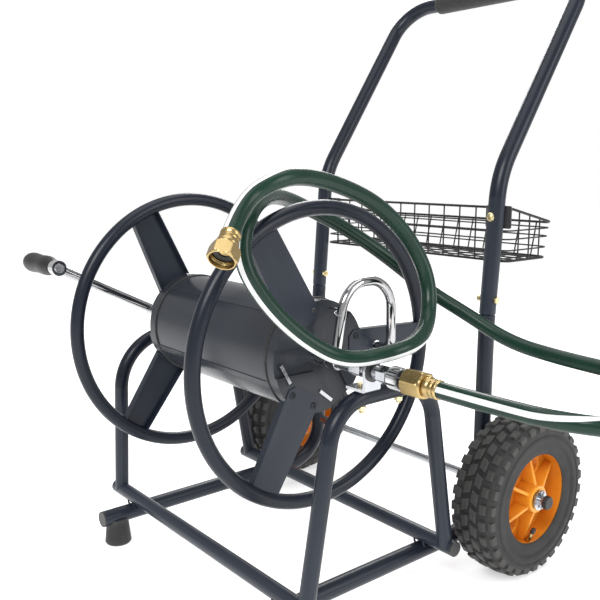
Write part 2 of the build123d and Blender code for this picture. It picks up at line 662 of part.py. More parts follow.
for side_name, sign in SIDES.items():
    rim_plane = across(sign * RIM_X)
    with BuildPart() as rim:
        run_torus(rim_plane, RIM_RADIUS, RIM_TUBE / 2, RIM_TUBE / 2 - WALL)
    save(rim, f"{side_name}_rim")

    for index, turn in enumerate(spoke_turns(side_name)):
        plate_x = DISC_FACE if sign > 0 else -DISC_FACE - SHEET
        flange_x = DISC_FACE - SPOKE_FLANGE if sign > 0 else -DISC_FACE
        ring_side = Plane(origin=rim_plane.origin, x_dir=rim_plane.x_dir, z_dir=-rim_plane.y_dir)
        with BuildPart() as spoke:
            with BuildSketch(across(plate_x, turn=turn)):
                Polygon(*spoke_corners(), align=None)
            extrude(amount=SHEET)
            with BuildSketch(across(flange_x, turn=turn)):
                Polygon(*spoke_corners(), align=None)
                Polygon(*spoke_corners(SHEET), align=None, mode=Mode.SUBTRACT)
                Circle(CAP_RADIUS + 2.5, mode=Mode.SUBTRACT)
            extrude(amount=SPOKE_FLANGE)
            with BuildSketch(ring_side):
                with Locations((RIM_RADIUS, 0)):
                    Circle(RIM_TUBE / 2)
                with Locations((RIM_RADIUS + 15, 0)):
                    Rectangle(30, RIM_TUBE + 20)
            revolve(axis=Axis(rim_plane.origin, (1, 0, 0)), mode=Mode.SUBTRACT)
            cut_screw_holes(sign, [turn])
            if side_name == "inlet_side" and index == 0:
                run_rod(
                    at(DISC_FACE - 10, OUTLET_Y, 0), at(DISC_FACE + 10, OUTLET_Y, 0), 8.0, mode=Mode.SUBTRACT
                )
        save(spoke, f"{side_name}_spoke_{index + 1}")

    floor_x = DISC_FACE - DISC_THICKNESS
    with BuildPart() as end_disc:
        back_x = floor_x - DISC_FLANGE
        run_rod(at(sign * back_x, 0, 0), at(sign * DISC_FACE, 0, 0), CAP_RADIUS)
        run_rod(at(sign * back_x, 0, 0), at(sign * floor_x, 0, 0), CAP_RADIUS - SHEET, mode=Mode.SUBTRACT)
        with BuildSketch(across(sign * (DISC_FACE - DISC_RECESS), turn=SPOKE_TURN[side_name])) as recess:
            with PolarLocations(CAP_RADIUS / 2, SPOKE_COUNT, start_angle=60):
                Rectangle(CAP_RADIUS + 2, 2 * ARM_HALF_WIDTH)
        extrude(recess.sketch, amount=sign * DISC_RECESS, mode=Mode.SUBTRACT)
        with BuildSketch(across(sign * floor_x, turn=SPOKE_TURN[side_name])) as pad_hollow:
            Circle(CAP_RADIUS - SHEET - 0.5)
            with PolarLocations(CAP_RADIUS / 2, SPOKE_COUNT, start_angle=60):
                Rectangle(CAP_RADIUS + 2, 2 * (ARM_HALF_WIDTH + SHEET), mode=Mode.SUBTRACT)
        extrude(pad_hollow.sketch, amount=sign * (DISC_THICKNESS - SHEET), mode=Mode.SUBTRACT)
        run_rod(
            at(sign * (floor_x - 20), 0, 0), at(sign * (DISC_FACE + 1), 0, 0), SHAFT_OUTER / 2,
            mode=Mode.SUBTRACT,
        )
        cut_screw_holes(sign, spoke_turns(side_name))
        if sign > 0:
            run_rod(at(150, *CLIP_HOLE), at(170, *CLIP_HOLE), 1.6, mode=Mode.SUBTRACT)
    save(end_disc, f"{side_name}_end_disc")

BEAD_X = DISC_FACE - DISC_THICKNESS - DISC_FLANGE
with BuildPart() as drum_beads:
    for sign in (-1, 1):
        run_rod(
            at(sign * (BEAD_X - BEAD_WIDTH), 0, 0),
            at(sign * BEAD_X, 0, 0),
            DRUM_RADIUS + 2.2,
            DRUM_RADIUS - 3,
        )
    fillet(drum_beads.edges().filter_by(GeomType.CIRCLE).group_by(SortBy.RADIUS)[-1], 1.6)
save(drum_beads, "drum_beads")

SHELL_HALF = BEAD_X - BEAD_WIDTH
with BuildPart() as drum_shell:
    run_rod(at(-SHELL_HALF, 0, 0), at(SHELL_HALF, 0, 0), DRUM_RADIUS, DRUM_RADIUS - SHEET)
    for seam in SEAM_ANGLES:
        with BuildSketch(across(-SHELL_HALF, turn=seam)) as lap:
            with Locations((DRUM_RADIUS + 0.3, 0)):
                Rectangle(1.2, 9)
        extrude(lap.sketch, amount=2 * SHELL_HALF)
save(drum_shell, "drum_shell")

with BuildPart() as drum_lock_tabs:
    for (tab_y, tab_z), turn, length in LOCK_TABS:
        with BuildSketch(across(DISC_FACE)) as footprint:
            with Locations((tab_y, tab_z)):
                Rectangle(length, 4.5, rotation=turn)
        extrude(footprint.sketch, amount=2.4)
save(drum_lock_tabs, "drum_lock_tabs")

with BuildPart() as spoke_screws:
    outer_face = DISC_FACE + SHEET
    for side_name, sign in SIDES.items():
        for turn in spoke_turns(side_name):
            for screw_y, screw_z in screw_places(turn):
                run_rod(
                    at(sign * (outer_face - 9), screw_y, screw_z), at(sign * outer_face, screw_y, screw_z),
                    SCREW_SHANK / 2,
                )
                run_rod(
                    at(sign * outer_face, screw_y, screw_z),
                    at(sign * (outer_face + 2.2), screw_y, screw_z),
                    4.6,
                )
save(spoke_screws, "spoke_screws")

# ---- Shaft, inlet pipe and the water way to the drum ----------------------------------------

SHAFT_STEP = -250.0
SHAFT_END = -291.0
with BuildPart() as reel_shaft:
    run_rod(at(SHAFT_STEP, 0, 0), at(ELBOW_START, 0, 0), SHAFT_OUTER / 2, SHAFT_INNER / 2)
    run_rod(at(SHAFT_END, 0, 0), at(SHAFT_STEP, 0, 0), JOURNAL / 2, JOURNAL / 2 - 4)
save(reel_shaft, "reel_shaft")

PIPE_START = 199.0
LIP_START = 299.0
LIP_END = 302.0
with BuildPart() as inlet_pipe:
    run_rod(at(PIPE_START, 0, 0), at(LIP_END, 0, 0), JOURNAL / 2, 6.0)
    run_rod(at(LIP_START, 0, 0), at(LIP_END, 0, 0), 10.0, 6.0)
save(inlet_pipe, "inlet_pipe")

with BuildPart() as gooseneck_elbow:
    run_rod(at(ELBOW_START, 0, 0), at(PIPE_START, 0, 0), 11.0)
    fillet(gooseneck_elbow.edges().filter_by(GeomType.CIRCLE), 1.5)
    run_rod(at(ELBOW_X, 0, 0), at(ELBOW_X, *NECK_FOOT), 8.0)
    run_rod(at(ELBOW_X, 0, 0), at(ELBOW_X, *NECK_FOOT), 4.5, mode=Mode.SUBTRACT)
    run_rod(at(ELBOW_X, 0, 0), at(PIPE_START, 0, 0), 4.5, mode=Mode.SUBTRACT)
save(gooseneck_elbow, "gooseneck_elbow")

with BuildPart() as gooseneck:
    neck_points = [
        at(ELBOW_X, *NECK_FOOT), at(ELBOW_X, 17, 98), at(ELBOW_X, 100, 98), at(ELBOW_X, OUTLET_Y, 0),
        at(140, OUTLET_Y, 0),
    ]
    run_tube(neck_points, [41, 41, 16], GOOSENECK_TUBE, 1.5)
save(gooseneck, "gooseneck")

with BuildPart() as outlet_nipple:
    run_rod(at(128, OUTLET_Y, 0), at(140, OUTLET_Y, 0), 11.0, 4.5)
    run_rod(at(104, OUTLET_Y, 0), at(128, OUTLET_Y, 0), GHT_RADIUS, 7.0)
    thread_end = outlet_nipple.edges().filter_by(GeomType.CIRCLE).group_by(Axis.X)[0]
    chamfer(thread_end.sort_by(SortBy.RADIUS)[-1], 1.2)
save(outlet_nipple, "outlet_nipple")

with BuildPart() as gooseneck_clip:
    clip_y, clip_z = CLIP_HOLE
    neck_side = GOOSENECK_TUBE / 2 + 2.2
    clip_points = [
        at(156, clip_y, clip_z),
        at(ELBOW_X - neck_side - 3, clip_y, clip_z),
        at(ELBOW_X - 6, clip_y - neck_side - 7, clip_z - 3),
        at(ELBOW_X + neck_side, clip_y - neck_side - 4, clip_z - 6),
    ]
    run_tube(clip_points, [6, 6], 2.8)
save(gooseneck_clip, "gooseneck_clip")

# ---- Crank ----------------------------------------------------------------------------------

crank_turn = math.radians(CRANK_ANGLE)
crank_y = CRANK_REACH * math.cos(crank_turn)
crank_z = CRANK_REACH * math.sin(crank_turn)
GRIP_PIN = 4.0
GRIP_RADIUS = 15.0

with BuildPart() as crank_arm:
    tip = at(CRANK_X, crank_y * 1.05, crank_z * 1.05)
    run_rod(at(CRANK_X, 0, 0), tip, 8.3, 6.8)
    for place in (at(CRANK_X, 0, 0), at(CRANK_X, crank_y, crank_z)):
        run_rod(place - Vector(8.5, 0, 0), place + Vector(8.5, 0, 0), 12.0)
    run_rod(at(CRANK_X - 20, 0, 0), at(CRANK_X + 20, 0, 0), JOURNAL / 2, mode=Mode.SUBTRACT)
    run_rod(
        at(CRANK_X - 20, crank_y, crank_z), at(CRANK_X + 20, crank_y, crank_z), GRIP_PIN, mode=Mode.SUBTRACT
    )
save(crank_arm, "crank_arm")

with BuildPart() as shaft_nuts:
    run_hex(at(226, 0, 0), at(245, 0, 0), 20.0, JOURNAL / 2)
    run_hex(at(273, 0, 0), at(288, 0, 0), 20.0, JOURNAL / 2)
    run_hex(at(CRANK_X - 8.5, 0, 0), at(SHAFT_END, 0, 0), 19.0, JOURNAL / 2)
    run_hex(at(SHAFT_END, 0, 0), at(SHAFT_END - 2, 0, 0), 17.0)
save(shaft_nuts, "shaft_nuts")

with BuildPart() as grip_pin:
    run_rod(at(CRANK_X + 8.5, crank_y, crank_z), at(GRIP_OUTER_X + 8, crank_y, crank_z), GRIP_PIN)
    run_rod(at(CRANK_X + 8.5, crank_y, crank_z), at(CRANK_X + 11.5, crank_y, crank_z), 7.0)
    run_rod(at(GRIP_OUTER_X + 8, crank_y, crank_z), at(GRIP_OUTER_X + 5, crank_y, crank_z), 7.0)
save(grip_pin, "grip_pin")

with BuildPart() as crank_grip:
    grip_plane = Plane(origin=at(GRIP_INNER_X, crank_y, crank_z), x_dir=(0, 1, 0), z_dir=(-1, 0, 0))
    grip_length = GRIP_INNER_X - GRIP_OUTER_X
    bore = GRIP_PIN + RUNNING
    with BuildSketch(Plane(origin=grip_plane.origin, x_dir=(0, 1, 0), z_dir=(0, 0, 1))) as section:
        with BuildLine() as outline:
            Polyline((bore, 0), (11, 0))
            Spline((11, 0), (GRIP_RADIUS - 1, 8), (GRIP_RADIUS, 50), (GRIP_RADIUS - 1, 92), (9, grip_length))
            Polyline(
                (9, grip_length), (8, grip_length), (8, grip_length - 9), (bore, grip_length - 9), (bore, 0)
            )
        make_face(outline.line)
    revolve(section.sketch, axis=Axis(grip_plane.origin, (-1, 0, 0)))
save(crank_grip, "crank_grip")

# ==== Swivel inlet, leader hose and couplings ================================================

CAVITY_END = 302.3
SEAL_END = 305.0
THREAD_START = 308.0
THREAD_END = 337.0

with BuildPart() as swivel_body:
    run_profile(
        across(0),
        [
            (JOURNAL / 2 + RUNNING, SWIVEL_START), (12.6, SWIVEL_START), (14.0, SWIVEL_START + 1.5),
            (14.0, THREAD_START), (GHT_RADIUS, THREAD_START), (GHT_RADIUS, THREAD_END), (7.0, THREAD_END),
            (7.0, SEAL_END), (10.4, SEAL_END), (10.4, LIP_START - 1), (JOURNAL / 2 + RUNNING, LIP_START - 1),
        ],
    )
save(swivel_body, "swivel_body")

with BuildPart() as swivel_seal:
    run_rod(at(CAVITY_END, 0, 0), at(SEAL_END, 0, 0), 10.4, 7.0)
save(swivel_seal, "swivel_seal")


COUPLING_FLATS = 30.0
THREAD_RELIEF = 13.6
HOSE_BORE = 6.5
NECK_RADIUS = 10.0
NECK_LENGTH = 3.0
FLANGE_LENGTH = 3.0
WASHER_LENGTH = 2.5


def add_coupling_nut(mouth, direction, length):
    """Add a hose coupling's hexagonal nut: a female thread, a wider washer seat and a neck hole."""
    thread_end = mouth + direction * (length - NECK_LENGTH - FLANGE_LENGTH - WASHER_LENGTH - 0.5)
    neck_start = mouth + direction * (length - NECK_LENGTH)
    run_hex(mouth, mouth + direction * length, COUPLING_FLATS, GHT_RADIUS)
    run_rod(thread_end, neck_start, THREAD_RELIEF, mode=Mode.SUBTRACT)
    run_rod(neck_start, mouth + direction * length, THREAD_RELIEF, NECK_RADIUS)


def add_ferrule(mouth, direction, length, total):
    """Add a coupling's swaged ferrule: a flange inside the nut, a neck and a stepped sleeve."""
    neck_start = mouth + direction * (length - NECK_LENGTH)
    sleeve_start = mouth + direction * length
    sleeve_step = sleeve_start + direction * 7
    run_rod(neck_start - direction * FLANGE_LENGTH, neck_start, 12.4, HOSE_BORE)
    run_rod(neck_start, sleeve_start, NECK_RADIUS, HOSE_BORE)
    run_rod(sleeve_start, sleeve_step, 12.2, HOSE_BORE)
    run_rod(sleeve_step, mouth + direction * total, 11.2, HOSE_BORE)


def add_washer(mouth, direction, length):
    """Add a coupling's rubber washer, which rests on the ferrule's flange."""
    seat = mouth + direction * (length - NECK_LENGTH - FLANGE_LENGTH)
    run_rod(seat - direction * WASHER_LENGTH, seat, 13.0, HOSE_BORE)


INLET_NUT = 30.0
INLET_COUPLING = 50.0
FREE_NUT = 18.0
FREE_COUPLING = 37.0

hose_end = at(*HOSE_ROUTE[-1])
free_axis = (Vector(*HOSE_ROUTE[-2]) - Vector(*HOSE_ROUTE[-1])).normalized()
free_mouth = hose_end - free_axis * FREE_COUPLING
COUPLINGS = {
    "inlet_coupling": (at(316, 0, 0), Vector(1, 0, 0), INLET_NUT, INLET_COUPLING),
    "free_coupling": (free_mouth, free_axis, FREE_NUT, FREE_COUPLING),
}

for name, (mouth, direction, nut_length, total_length) in COUPLINGS.items():
    with BuildPart() as coupling_nut:
        add_coupling_nut(mouth, direction, nut_length)
    save(coupling_nut, f"{name}_nut")
    with BuildPart() as ferrule:
        add_ferrule(mouth, direction, nut_length, total_length)
    save(ferrule, f"{name}_ferrule")


with BuildPart() as coupling_washers:
    for mouth, direction, nut_length, total_length in COUPLINGS.values():
        add_washer(mouth, direction, nut_length)
save(coupling_washers, "coupling_washers")


def bend_radii(points):
    """The largest arc radius that each corner of a hose's route has room for."""
    radii = []
    for before, corner, after in zip(points, points[1:], points[2:]):
        first, second = Vector(*corner) - Vector(*before), Vector(*after) - Vector(*corner)
        half_turn = math.radians(first.get_angle(second) / 2)
        radii.append(0.45 * min(first.length, second.length) / math.tan(half_turn))
    return radii


hose_radii = bend_radii(HOSE_ROUTE)
with BuildPart() as leader_hose:
    with BuildLine() as hose_path:
        FilletPolyline(*[at(*point) for point in HOSE_ROUTE], radius=hose_radii)
    with BuildSketch(Plane(origin=hose_path.line @ 0, z_dir=hose_path.line % 0)) as hose_section:
        Circle(HOSE_OUTER / 2)
    sweep(hose_section.sketch, path=hose_path.line)
save(leader_hose, "leader_hose")

hose_length = sum(edge.length for edge in hose_path.edges())
expected = math.pi * (HOSE_OUTER / 2) ** 2 * hose_length
print("hose bend radii:", [round(radius) for radius in hose_radii])
print(f"hose length {hose_length:.0f} mm")
print(f"hose volume {leader_hose.part.volume:.0f} mm3, section times length {expected:.0f}")
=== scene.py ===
"""Garden hose reel cart: the looks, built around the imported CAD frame. Lengths are in metres."""

import json
import math
import random

import bmesh
import bpy
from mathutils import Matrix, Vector


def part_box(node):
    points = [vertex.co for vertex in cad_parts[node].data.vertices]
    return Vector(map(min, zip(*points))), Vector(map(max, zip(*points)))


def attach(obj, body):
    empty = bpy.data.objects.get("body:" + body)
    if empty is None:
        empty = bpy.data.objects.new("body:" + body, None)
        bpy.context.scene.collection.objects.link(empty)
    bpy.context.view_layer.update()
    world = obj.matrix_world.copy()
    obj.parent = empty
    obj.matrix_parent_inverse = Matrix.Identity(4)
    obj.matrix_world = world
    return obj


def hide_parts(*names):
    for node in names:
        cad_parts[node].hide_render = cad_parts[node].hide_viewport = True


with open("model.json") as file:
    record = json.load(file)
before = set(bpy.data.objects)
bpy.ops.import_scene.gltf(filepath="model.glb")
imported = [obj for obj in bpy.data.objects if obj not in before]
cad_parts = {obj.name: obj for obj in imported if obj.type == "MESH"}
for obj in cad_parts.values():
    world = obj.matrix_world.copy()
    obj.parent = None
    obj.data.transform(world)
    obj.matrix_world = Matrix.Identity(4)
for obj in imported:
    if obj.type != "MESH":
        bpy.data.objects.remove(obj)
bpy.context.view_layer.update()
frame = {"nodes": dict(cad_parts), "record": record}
random.seed(7)

MM = 0.001


def middle(node):
    """The middle of a CAD node's box."""
    low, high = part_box(node)
    return (Vector(low) + Vector(high)) / 2


REEL = middle("drum_shell")
WHEELS = {side: middle(f"{side}_tyre") for side in ("inlet_side", "crank_side")}
SIGNS = {"inlet_side": 1, "crank_side": -1}


def at(x, y, z):
    """A point given in millimetres from the reel's centre."""
    return REEL + Vector((x, y, z)) * MM


# ---- Materials --------------------------------------------------------------------------------

# Pointiness over which raised edges take a painted highlight.
EDGE_HIGHLIGHT_RANGE = (0.53, 0.62)


class Shader:
    """A material's node tree with short ways to add nodes."""

    def __init__(self, name):
        self.material = bpy.data.materials.new(name)
        self.material.use_nodes = True
        self.nodes = self.material.node_tree.nodes
        self.links = self.material.node_tree.links
        self.bsdf = self.nodes["Principled BSDF"]
        self.coords = self.nodes.new("ShaderNodeTexCoord")

    def link(self, source, target):
        self.links.new(source, target)

    def noise(self, scale, detail=4.0, stretch=(1, 1, 1)):
        """Noise from 0 to 1 over the object's own coordinates."""
        mapping = self.nodes.new("ShaderNodeMapping")
        mapping.inputs["Scale"].default_value = stretch
        self.link(self.coords.outputs["Object"], mapping.inputs["Vector"])
        noise = self.nodes.new("ShaderNodeTexNoise")
        noise.inputs["Scale"].default_value = scale
        noise.inputs["Detail"].default_value = detail
        noise.inputs["Roughness"].default_value = 0.6
        self.link(mapping.outputs["Vector"], noise.inputs["Vector"])
        return noise.outputs["Fac"]

    def ramp(self, factor, stops):
        """Colours placed along a factor."""
        ramp = self.nodes.new("ShaderNodeValToRGB")
        elements = ramp.color_ramp.elements
        while len(elements) < len(stops):
            elements.new(0.5)
        for element, (place, colour) in zip(elements, stops):
            element.position = place
            element.color = (*colour, 1)
        self.link(factor, ramp.inputs["Fac"])
        return ramp.outputs["Color"]

    def mix(self, factor, first, second):
        """A blend of two colours, each a tuple or a node's output."""
        mix = self.nodes.new("ShaderNodeMix")
        mix.data_type = "RGBA"
        self.link(factor, mix.inputs["Factor"])
        for socket, value in ((mix.inputs["A"], first), (mix.inputs["B"], second)):
            if isinstance(value, tuple):
                socket.default_value = (*value, 1)
            else:
                self.link(value, socket)
        return mix.outputs["Result"]

    def spread(self, factor, low, high):
        """A factor from 0 to 1 spread between two values."""
        spread = self.nodes.new("ShaderNodeMapRange")
        spread.inputs["To Min"].default_value = low
        spread.inputs["To Max"].default_value = high
        self.link(factor, spread.inputs["Value"])
        return spread.outputs["Result"]

    def bump(self, height, strength, distance):
        """Fine relief from a height, at most a distance in metres."""
        bump = self.nodes.new("ShaderNodeBump")
        bump.inputs["Strength"].default_value = strength
        bump.inputs["Distance"].default_value = distance
        self.link(height, bump.inputs["Height"])
        self.link(bump.outputs["Normal"], self.bsdf.inputs["Normal"])

    def edge_highlight_mask(self):
        """How far a place is on a raised edge, from 0 to 1, where a painted highlight goes."""
        geometry = self.nodes.new("ShaderNodeNewGeometry")
        wear = self.nodes.new("ShaderNodeMapRange")
        wear.inputs["From Min"].default_value = EDGE_HIGHLIGHT_RANGE[0]
        wear.inputs["From Max"].default_value = EDGE_HIGHLIGHT_RANGE[1]
        self.link(geometry.outputs["Pointiness"], wear.inputs["Value"])
        return wear.outputs["Result"]

    def set(self, **values):
        """Set constants on the shader's own sockets."""
        for name, value in values.items():
            self.bsdf.inputs[name.replace("_", " ")].default_value = value


def powder_coat(name, dark, light, edge_highlight_colour, rough=(0.36, 0.5), grain=0.00006):
    """Baked powder coat: fine orange peel, faint clouding and a painted highlight on raised edges."""
    shader = Shader(name)
    cloud = shader.ramp(shader.noise(9, 5), [(0.3, dark), (0.7, light)])
    shader.link(shader.mix(shader.edge_highlight_mask(), cloud, edge_highlight_colour), shader.bsdf.inputs["Base Color"])
    shader.link(shader.spread(shader.noise(40, 3), *rough), shader.bsdf.inputs["Roughness"])
    shader.bump(shader.noise(900, 2), 0.35, grain)
    shader.set(Specular_IOR_Level=0.32)
    return shader.material


def metal(name, dark, light, rough, scratch=(1, 1, 1), grain=0.00002, scale=60, metallic=1.0):
    """Bare or plated metal with clouding, fine scratches and a painted highlight on raised edges."""
    shader = Shader(name)
    cloud = shader.ramp(shader.noise(scale, 6), [(0.3, dark), (0.72, light)])
    # Painted highlight colour for raised edges.
    edge = tuple(min(1.0, 1.25 * part) for part in light)
    shader.link(shader.mix(shader.edge_highlight_mask(), cloud, edge), shader.bsdf.inputs["Base Color"])
    roughness = shader.spread(shader.noise(220, 3, scratch), *rough)
    shader.link(roughness, shader.bsdf.inputs["Roughness"])
    shader.bump(shader.noise(500, 3, scratch), 0.3, grain)
    shader.set(Metallic=metallic)
    return shader.material


def plastic(name, dark, light, rough, grain=0.00005, scale=500, sheen=0.0):
    """Moulded plastic, foam or rubber with a fine grain, a little dust in the clouding and a painted
    highlight on raised edges.
    """
    shader = Shader(name)
    cloud = shader.ramp(shader.noise(24, 6), [(0.3, dark), (0.75, light)])
    # Painted highlight colour for raised edges.
    edge = tuple(min(1.0, 1.5 * part + 0.01) for part in light)
    shader.link(shader.mix(shader.edge_highlight_mask(), cloud, edge), shader.bsdf.inputs["Base Color"])
    shader.link(shader.spread(shader.noise(80, 3), *rough), shader.bsdf.inputs["Roughness"])
    shader.bump(shader.noise(scale, 4), 0.4, grain)
    shader.set(Sheen_Weight=sheen)
    return shader.material


STRIPE_SHARE = 0.105
HOSE_RIBS = 24


def hose_material():
    """Glossy dark green PVC with one white stripe and faint grooves along its length."""
    shader = Shader("hose_pvc")
    green = shader.ramp(shader.noise(14, 5), [(0.3, (0.003, 0.022, 0.0135)), (0.75, (0.006, 0.033, 0.020))])
    white = shader.ramp(shader.noise(60), [(0.3, (0.62, 0.63, 0.63)), (0.75, (0.82, 0.83, 0.83))])
    split = shader.nodes.new("ShaderNodeSeparateXYZ")
    shader.link(shader.coords.outputs["UV"], split.inputs["Vector"])
    around = shader.nodes.new("ShaderNodeMath")
    around.operation = "COMPARE"
    around.inputs[1].default_value = 0.5
    around.inputs[2].default_value = STRIPE_SHARE / 2
    shader.link(split.outputs["Y"], around.inputs[0])
    shader.link(shader.mix(around.outputs["Value"], green, white), shader.bsdf.inputs["Base Color"])
    ribs = shader.nodes.new("ShaderNodeMath")
    ribs.operation = "SINE"
    turns = shader.nodes.new("ShaderNodeMath")
    turns.operation = "MULTIPLY"
    turns.inputs[1].default_value = 2 * math.pi * HOSE_RIBS
    shader.link(split.outputs["Y"], turns.inputs[0])
    shader.link(turns.outputs["Value"], ribs.inputs[0])
    shader.bump(ribs.outputs["Value"], 0.12, 0.00012)
    shader.link(shader.spread(shader.noise(120, 3), 0.2, 0.32), shader.bsdf.inputs["Roughness"])
    shader.set(Specular_IOR_Level=0.32)
    return shader.material


# Each finish: name, dark and light colours, then the painted edge highlight's colour on paint, and the
# roughness range.
MATERIALS = {
    "frame_paint": powder_coat(
        "frame_powder",
        (0.0055, 0.0085, 0.0160),
        (0.0090, 0.0130, 0.0235),
        (0.026, 0.033, 0.047),
        rough=(0.24, 0.36),
    ),
    "drum_paint": powder_coat(
        "drum_powder",
        (0.0075, 0.0090, 0.0125),
        (0.0115, 0.0135, 0.0180),
        (0.030, 0.034, 0.042),
        rough=(0.18, 0.3),
        grain=0.00004,
    ),
    "black_plastic": plastic("moulded_black", (0.010, 0.010, 0.011), (0.022, 0.022, 0.024), (0.35, 0.55)),
    "black_rubber": plastic(
        "soft_rubber",
        (0.012, 0.012, 0.012),
        (0.024, 0.024, 0.023),
        rough=(0.6, 0.82),
        grain=0.0001,
        scale=700,
        sheen=0.15,
    ),
    "tyre_rubber": plastic(
        "tyre_rubber",
        (0.011, 0.011, 0.012),
        (0.026, 0.025, 0.024),
        rough=(0.55, 0.8),
        grain=0.00015,
        scale=300,
    ),
    "orange_hub": plastic(
        "orange_rim", (0.62, 0.2, 0.012), (0.78, 0.28, 0.02), rough=(0.25, 0.42), grain=0.00003, scale=400
    ),
    "bush_plastic": plastic("nylon_bush", (0.016, 0.016, 0.017), (0.03, 0.03, 0.03), (0.35, 0.5)),
    "black_wire": powder_coat(
        "wire_coating", (0.010, 0.011, 0.013), (0.02, 0.021, 0.024), (0.06, 0.06, 0.065)
    ),
    "zinc": metal(
        "bright_zinc", (0.27, 0.28, 0.30), (0.43, 0.44, 0.46), (0.16, 0.34), scratch=(3, 1, 1)
    ),
    "yellow_zinc": metal("yellow_zinc", (0.50, 0.40, 0.19), (0.74, 0.64, 0.38), (0.22, 0.42), scale=160),
    "chrome": metal("chrome_plate", (0.42, 0.42, 0.43), (0.58, 0.58, 0.59), (0.03, 0.09), scale=30),
    "brass": metal(
        "machined_brass", (0.43, 0.31, 0.13), (0.53, 0.39, 0.18), (0.2, 0.32), scale=35, grain=0.00001
    ),
    "hose_green": hose_material(),
}

slot_of = {row["node"]: row["material_slot"] for row in frame["record"]["subparts"]}
for node, item in frame["nodes"].items():
    item.data.materials.clear()
    item.data.materials.append(MATERIALS[slot_of[node]])


# ---- Mesh helpers -----------------------------------------------------------------------------


def square_to(axis):
    """An axis and two directions square to it, all of length 1."""
    axis = Vector(axis).normalized()
    across = axis.orthogonal().normalized()
    return axis, across, axis.cross(across)


def around(count):
    """The angles of a number of even steps around a circle."""
    return [2 * math.pi * step / count for step in range(count)]


def join_loops(mesh, first, second):
    """Add the faces between two loops of as many points."""
    for step in range(len(first)):
        following = (step + 1) % len(first)
        mesh.faces.new((first[step], first[following], second[following], second[step]))


def as_mesh(mesh, name):
    """Turn a bmesh into mesh data with its faces turned outwards."""
    bmesh.ops.recalc_face_normals(mesh, faces=mesh.faces)
    data = bpy.data.meshes.new(name)
    mesh.to_mesh(data)
    mesh.free()
    return data


def piece(name, mesh, body, slot, material=None, smooth=True):
    """Make an object of a mesh, which rides on a CAD body and takes a slot's material."""
    item = bpy.data.objects.new(name, mesh)
    bpy.context.collection.objects.link(item)
    mesh.materials.append(material or MATERIALS[slot])
    if smooth:
        for polygon in mesh.polygons:
            polygon.use_smooth = True
    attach(item, body)
    return item


def lathe(rings, steps, centre, axis):
    """A turned mesh from (along, radius) rings about an axis through a centre, closed at its ends."""
    axis, across, other = square_to(axis)
    mesh = bmesh.new()
    loops = []
    for along, radius in rings:
        loop = []
        for angle in around(steps):
            outward = across * math.cos(angle) + other * math.sin(angle)
            loop.append(mesh.verts.new(centre + axis * along + outward * radius))
        loops.append(loop)
    for first, second in zip(loops, loops[1:]):
        join_loops(mesh, first, second)
    if rings[0] != rings[-1]:
        mesh.faces.new(loops[0][::-1])
        mesh.faces.new(loops[-1])
    else:
        bmesh.ops.remove_doubles(mesh, verts=mesh.verts, dist=1e-7)
    return as_mesh(mesh, "turned")


# ---- Leader hose ------------------------------------------------------------------------------

HOSE_DIAMETER = 0.020
# The route's points, in millimetres from the reel's centre, from the inlet to the free coupling.
HOSE_ROUTE = [
    (366, 0, 0), (440, 0, 0), (520, 0, 2), (595, 75, -6), (595, 175, -14), (520, 250, -12), (435, 258, -8),
    (350, 256, -5), (275, 252, 3), (208, 238, 36), (150, 218, 66), (108, 170, 118), (92, 105, 160),
    (95, 38, 188), (118, -28, 208), (158, -88, 211), (200, -142, 194), (214, -165, 145), (221, -131, 90),
    (233, -85, 45), (252, -40, 17), (286, 8, 27), (282, 58, 34), (256, 104, 54), (240, 118, 104),
    (229, 92, 156), (221, 46, 198), (222, -14, 222), (230, -78, 236), (237, -128, 234), (226, -167, 211),
    (245, -196, 178),
]
LOOP_CENTRE = (240, -25, 125)
FRONT_SIDE = Vector((0.76, -0.63, 0.17))
# The points of the route up to which the stripe faces each way.
INLET_UNTIL = 3
AWAY_UNTIL = 15
FRONT_UNTIL = 23
BACK_UNTIL = 29


def stripe_direction(index, place):
    """Which way the white stripe faces at a point of the route."""
    outward = (Vector(place) - Vector(LOOP_CENTRE)).normalized()
    if index < INLET_UNTIL:
        return Vector((0.66, -0.62, 0.22))
    if index < AWAY_UNTIL:
        return -FRONT_SIDE
    if index < FRONT_UNTIL:
        return outward + FRONT_SIDE
    if index < BACK_UNTIL:
        return outward - FRONT_SIDE * 0.8
    return outward + FRONT_SIDE * 0.45 + Vector((0, -0.5, 0))


def turn_stripe(hose):
    """Tilt the curve's points so that its stripe, opposite the tube's seam, faces the wanted way."""
    curve = hose.data
    tube = bpy.data.meshes.new_from_object(hose)
    depth = curve.bevel_depth
    curve.bevel_depth = 0
    line = bpy.data.meshes.new_from_object(hose)
    curve.bevel_depth = depth
    path = [vertex.co.copy() for vertex in line.vertices]
    last = len(path) - 1
    ring_size = len(tube.vertices) // len(path)
    before = 0.0
    for index, (point, place) in enumerate(zip(curve.splines[0].points, HOSE_ROUTE)):
        spot = Vector(point.co[:3])
        nearest = min(range(len(path)), key=lambda step: (path[step] - spot).length)
        tangent = (path[min(nearest + 1, last)] - path[max(nearest - 1, 0)]).normalized()
        now = path[nearest] - tube.vertices[nearest * ring_size].co
        wanted = stripe_direction(index, place)
        wanted -= tangent * wanted.dot(tangent)
        turn = math.atan2(now.cross(wanted).dot(tangent), now.dot(wanted))
        turn += 2 * math.pi * round((before - turn) / (2 * math.pi))
        point.tilt = turn
        before = turn
    bpy.data.meshes.remove(tube)
    bpy.data.meshes.remove(line)


